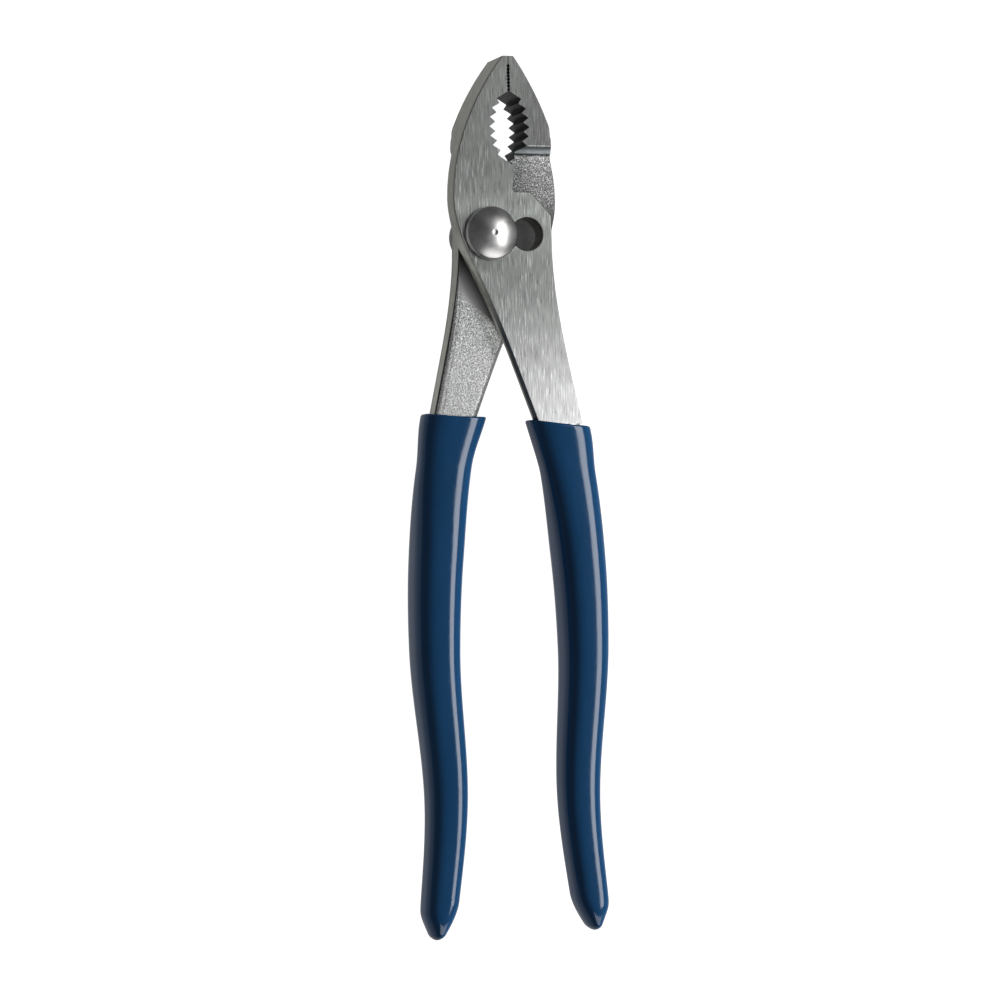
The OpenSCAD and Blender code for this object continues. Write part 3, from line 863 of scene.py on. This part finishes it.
# %% Write the handle's rule
RIM_AT, RIM_LAG, RIM_OFF, RIM_SPREAD = 42.4, 2.1, 11.7, 0.3
BELLY_AT, BELLY_OFF, WAIST_AT, WAIST_OFF = 97.0, 18.6, 131.0, 16.6
END_AT, END_OFF, END_SPREAD, SHIFT = 164.0, 19.7, 0.1, 0.3
NECK_W, TANG_W_END, TANG_STEP, TAPER = 10.9, 6.0, 0.2, 1.1
NECK_T, TANG_T_MID, TANG_MID_AT, TANG_T_END = 4.95, 9.2, 76.0, 6.0
NECK_Z, TANG_END_AT = 2.525, 155.7


def ease(t):
    t = min(max(t, 0), 1)
    return t * t * (3 - 2 * t)


def lerp(a, b, t):
    return a + (b - a) * t


def hermite(t, a, b, slope_a, slope_b):
    return lerp(a, b, t * t * (3 - 2 * t)) + slope_a * t * (1 - t) ** 2 - slope_b * t * t * (1 - t)


def handle_off(d):
    if d < BELLY_AT:
        run = BELLY_AT - RIM_AT
        return hermite((d - RIM_AT) / run, RIM_OFF, BELLY_OFF, RIM_SPREAD * run, 0)
    if d < WAIST_AT:
        return hermite((d - BELLY_AT) / (WAIST_AT - BELLY_AT), BELLY_OFF, WAIST_OFF, 0, 0)
    run = END_AT - WAIST_AT
    return hermite((d - WAIST_AT) / run, WAIST_OFF, END_OFF, 0, END_SPREAD * run)


def tang_size(d):
    to_end = min(max((d - RIM_AT) / (TANG_END_AT - RIM_AT), 0), 1)
    to_middle = ease((d - RIM_AT) / (TANG_MID_AT - RIM_AT))
    wide = lerp(NECK_W, TANG_W_END, to_end ** TAPER) - 2 * TANG_STEP
    if d < TANG_MID_AT:
        thick = lerp(NECK_T - 2 * TANG_STEP, TANG_T_MID, to_middle)
    else:
        thick = lerp(TANG_T_MID, TANG_T_END, ease((d - TANG_MID_AT) / (TANG_END_AT - TANG_MID_AT)))
    return wide, thick, NECK_Z * (1 - to_middle)


print("handle's offsets", [round(handle_off(d), 1) for d in (RIM_AT, BELLY_AT, WAIST_AT, END_AT)], "mm")

# %% [markdown]
# ## Sections of a sleeve
# A dipped sleeve follows the tang at an even wall, flares at its rim and closes in a slanted, rounded
# tip. At each distance it is a superellipse, a rounded rectangle whose bend goes from square towards
# round. The row of sections starts at the bottom of the pocket, comes up inside, turns over the lip and
# runs down outside to the tip, so the sleeve is one closed skin.

# %% List the sections
WALL, FIT, FLARE, FLARE_LEN, LIP = 1.3, 0.05, 1.0, 12.0, 0.55
SLANT_AT, SLANT, SLANT_BLEND = 158.2, 0.36, 1.2
TIP_AT, TIP_TUCK, TIP_TUCK_POWER, TIP_THIN, TIP_ROUND = 155.2, 0.38, 1.7, 0.35, 1.3
POCKET_BEND, SKIN_BEND, TIP_BEND = 2 / 5, 2 / 3.2, 0.92
POCKET_STEPS, LIP_STEPS, SKIN_STEPS, TIP_STEPS, END_STEPS = 24, 6, 150, 24, 8


def soft_step(d, start, blend):
    return ((d - start) + math.sqrt((d - start) ** 2 + blend ** 2)) / 2


def pocket_row(d, shrink=1.0):
    wide, thick, z = tang_size(d)
    return d, handle_off(d), z, (wide / 2 + FIT) * shrink, (thick / 2 + FIT) * shrink, POCKET_BEND


def skin_row(d, rim, inset=0.0, shrink=1.0):
    wide, thick, z = tang_size(d)
    grow = FIT + WALL + FLARE * (1 - ease((d - rim) / FLARE_LEN))
    wide, thick = wide + 2 * grow, thick + 2 * grow
    slanted = min(soft_step(d, SLANT_AT, SLANT_BLEND) / (END_AT - SLANT_AT), 1)
    tucked = max((d - TIP_AT) / (END_AT - TIP_AT), 0)
    outer, inner = 0.5 - SLANT * slanted, -0.5 + TIP_TUCK * tucked ** TIP_TUCK_POWER
    half_width = (wide * (outer - inner) / 2 - inset) * shrink
    half_depth = (thick * (1 - TIP_THIN * slanted ** 2) / 2 - inset) * shrink
    bend = lerp(SKIN_BEND, TIP_BEND, ease(tucked))
    return d, handle_off(d) + wide * (outer + inner) / 2, z, half_width, half_depth, bend


def quarter_turn(steps, first=0):
    return [math.radians(90 * i / steps) for i in range(first, steps + 1)]


def sleeve_sections(rim):
    bottom, end = TANG_END_AT + FIT, END_AT - TIP_ROUND
    rows = [pocket_row(bottom, 0.0)]
    rows += [pocket_row(lerp(bottom, rim, i / POCKET_STEPS)) for i in range(POCKET_STEPS + 1)]
    rows += [skin_row(rim + LIP * (1 - math.cos(a)), rim, inset=LIP * (1 - math.sin(a)))
             for a in quarter_turn(LIP_STEPS)]
    rows += [skin_row(lerp(rim + LIP, TIP_AT, i / SKIN_STEPS), rim) for i in range(1, SKIN_STEPS + 1)]
    rows += [skin_row(lerp(TIP_AT, end, i / TIP_STEPS), rim) for i in range(1, TIP_STEPS + 1)]
    rows += [skin_row(end + TIP_ROUND * math.sin(a), rim, shrink=math.cos(a))
             for a in quarter_turn(END_STEPS, first=1)]
    return rows


print("sections in a sleeve", len(sleeve_sections(RIM_AT)))

# %% [markdown]
# ## The skin of a sleeve
# A shape that follows a rule suits Geometry Nodes. A row of points carries the sizes of each section, and
# the tree wraps a grid round them: one way along the points, the other way round the section. The rim of
# a dipped sleeve isn't straight but sags like a saddle, so the tree also tilts and curls each section by
# two more numbers, which fade out below the rim. Merging the doubles closes the seam and both poles.

# %% Build the tree that wraps the skin
CLOSE_WITHIN = 1e-6


def sleeve_tree():
    tree = bpy.data.node_groups.new("dipped_sleeve", "GeometryNodeTree")
    for name, in_out, kind in (("Sections", "INPUT", "Geometry"), ("Sides", "INPUT", "Int"),
                               ("Skin", "INPUT", "Material"), ("Sleeve", "OUTPUT", "Geometry")):
        tree.interface.new_socket(name, in_out=in_out, socket_type="NodeSocket" + kind)
    given = tree.nodes.new("NodeGroupInput").outputs
    result = tree.nodes.new("NodeGroupOutput")

    def calc(operation, *values):
        return add(tree, "ShaderNodeMath", dict(enumerate(values)), operation=operation).outputs[0]

    row_of_points = add(tree, "GeometryNodeAttributeDomainSize", {"Geometry": given["Sections"]})
    count = row_of_points.outputs["Point Count"]
    around = calc("ADD", given["Sides"], 1)
    grid = add(tree, "GeometryNodeMeshGrid", {"Vertices X": count, "Vertices Y": around}).outputs["Mesh"]
    index = add(tree, "GeometryNodeInputIndex").outputs["Index"]
    row = calc("FLOOR", calc("DIVIDE", index, around))
    column = calc("MODULO", calc("SUBTRACT", index, calc("MULTIPLY", row, around)), given["Sides"])
    angle = calc("MULTIPLY", calc("DIVIDE", column, given["Sides"]), 2 * math.pi)

    def of_section(name, kind="FLOAT"):
        field = add(tree, "GeometryNodeInputNamedAttribute", {"Name": name}, data_type=kind)
        sample = {"Geometry": given["Sections"], "Value": field.outputs["Attribute"], "Index": row}
        return add(tree, "GeometryNodeSampleIndex", sample, data_type=kind, domain="POINT").outputs["Value"]

    def squared(wave, half, bend):
        bent = calc("POWER", calc("ABSOLUTE", wave), bend)
        return calc("MULTIPLY", calc("MULTIPLY", calc("SIGN", wave), bent), half)

    bend = of_section("bend")
    across = squared(calc("COSINE", angle), of_section("half_width"), bend)
    depth = squared(calc("SINE", angle), of_section("half_depth"), bend)
    slope = calc("ADD", of_section("tilt"), calc("MULTIPLY", across, of_section("curl")))
    sag = calc("MULTIPLY", across, slope)
    offset = add(tree, "ShaderNodeCombineXYZ", {"X": across, "Y": sag, "Z": depth}).outputs[0]
    middle = of_section("middle", "FLOAT_VECTOR")
    place = add(tree, "ShaderNodeVectorMath", {0: middle, 1: offset}, operation="ADD")
    skin = add(tree, "GeometryNodeSetPosition", {"Geometry": grid, "Position": place.outputs[0]})
    for kind, sockets in (("GeometryNodeMergeByDistance", {"Distance": CLOSE_WITHIN}),
                          ("GeometryNodeSetShadeSmooth", {}), ("GeometryNodeRealizeInstances", {}),
                          ("GeometryNodeSetMaterial", {"Material": given["Skin"]})):
        skin = add(tree, kind, {"Geometry": skin.outputs["Geometry"], **sockets})
    tree.links.new(skin.outputs["Geometry"], result.inputs["Sleeve"])
    return tree


wrap = sleeve_tree()
print("tree", wrap.name, len(wrap.nodes), "nodes")

# %% [markdown]
# ## Both sleeves
# The two sleeves share the rule and differ a little, as dipped ones do: the front one starts lower down,
# and each rim sags in its own way. The modifier's inputs are set before the first evaluation, the result
# is kept as a plain mesh, and if its signed volume is below zero, its faces are turned to look outwards.

# %% Make both sleeves
SLEEVE_SIDES, SAG_FADES_OVER = 112, 10


def section_points(name, rim, shift, flip, tilt, curl):
    rows = sleeve_sections(rim)
    mesh = bpy.data.meshes.new(name + "_sections")
    mesh.from_pydata([(0, 0, i * MM) for i in range(len(rows))], [], [])
    mesh.attributes.new("middle", "FLOAT_VECTOR", "POINT")
    for key in ("half_width", "half_depth", "bend", "tilt", "curl"):
        mesh.attributes.new(key, "FLOAT", "POINT")
    for i, (d, off, z, half_width, half_depth, bend) in enumerate(rows):
        middle = (SLOT_MID + flip * (off + shift), -d, LAP_Z + flip * z)
        mesh.attributes["middle"].data[i].vector = [c * MM for c in middle]
        fade = 1 - ease((d - rim) / SAG_FADES_OVER)
        numbers = {"half_width": half_width * MM, "half_depth": half_depth * MM, "bend": bend,
                   "tilt": tilt * fade, "curl": curl * fade / MM}
        for key, number in numbers.items():
            mesh.attributes[key].data[i].value = number
    return mesh


def face_outward(mesh):
    work = bmesh.new()
    work.from_mesh(mesh)
    if work.calc_volume(signed=True) < 0:
        bmesh.ops.reverse_faces(work, faces=work.faces)
    open_edges = sum(len(edge.link_faces) != 2 for edge in work.edges)
    work.to_mesh(mesh)
    work.free()
    return open_edges


def sleeve(name, rim, shift, flip, tilt, curl):
    piece = bpy.data.objects.new(name, section_points(name, rim, shift, flip, tilt, curl))
    scene.collection.objects.link(piece)
    wrapping = piece.modifiers.new("wrap", "NODES")
    wrapping.node_group = wrap
    ids = {item.name: item.identifier for item in wrap.interface.items_tree if item.in_out == "INPUT"}
    wrapping[ids["Sides"]] = SLEEVE_SIDES
    wrapping[ids["Skin"]] = plastic
    made_plain(piece)
    print(name, len(piece.data.polygons), "faces, open edges", face_outward(piece.data))
    return piece


for node, body, rim, shift, flip, tilt, curl in (
        ("front_grip", "front", RIM_AT + RIM_LAG, -SHIFT, 1, -0.11, 0.0046),
        ("rear_grip", "rear", RIM_AT, SHIFT, -1, -0.058, 0.0062)):
    piece = sleeve(node + "_sleeve", rim, shift, flip, tilt, curl)
    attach(piece, body)
    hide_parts(node)
    lit_glossy.objects.link(piece)
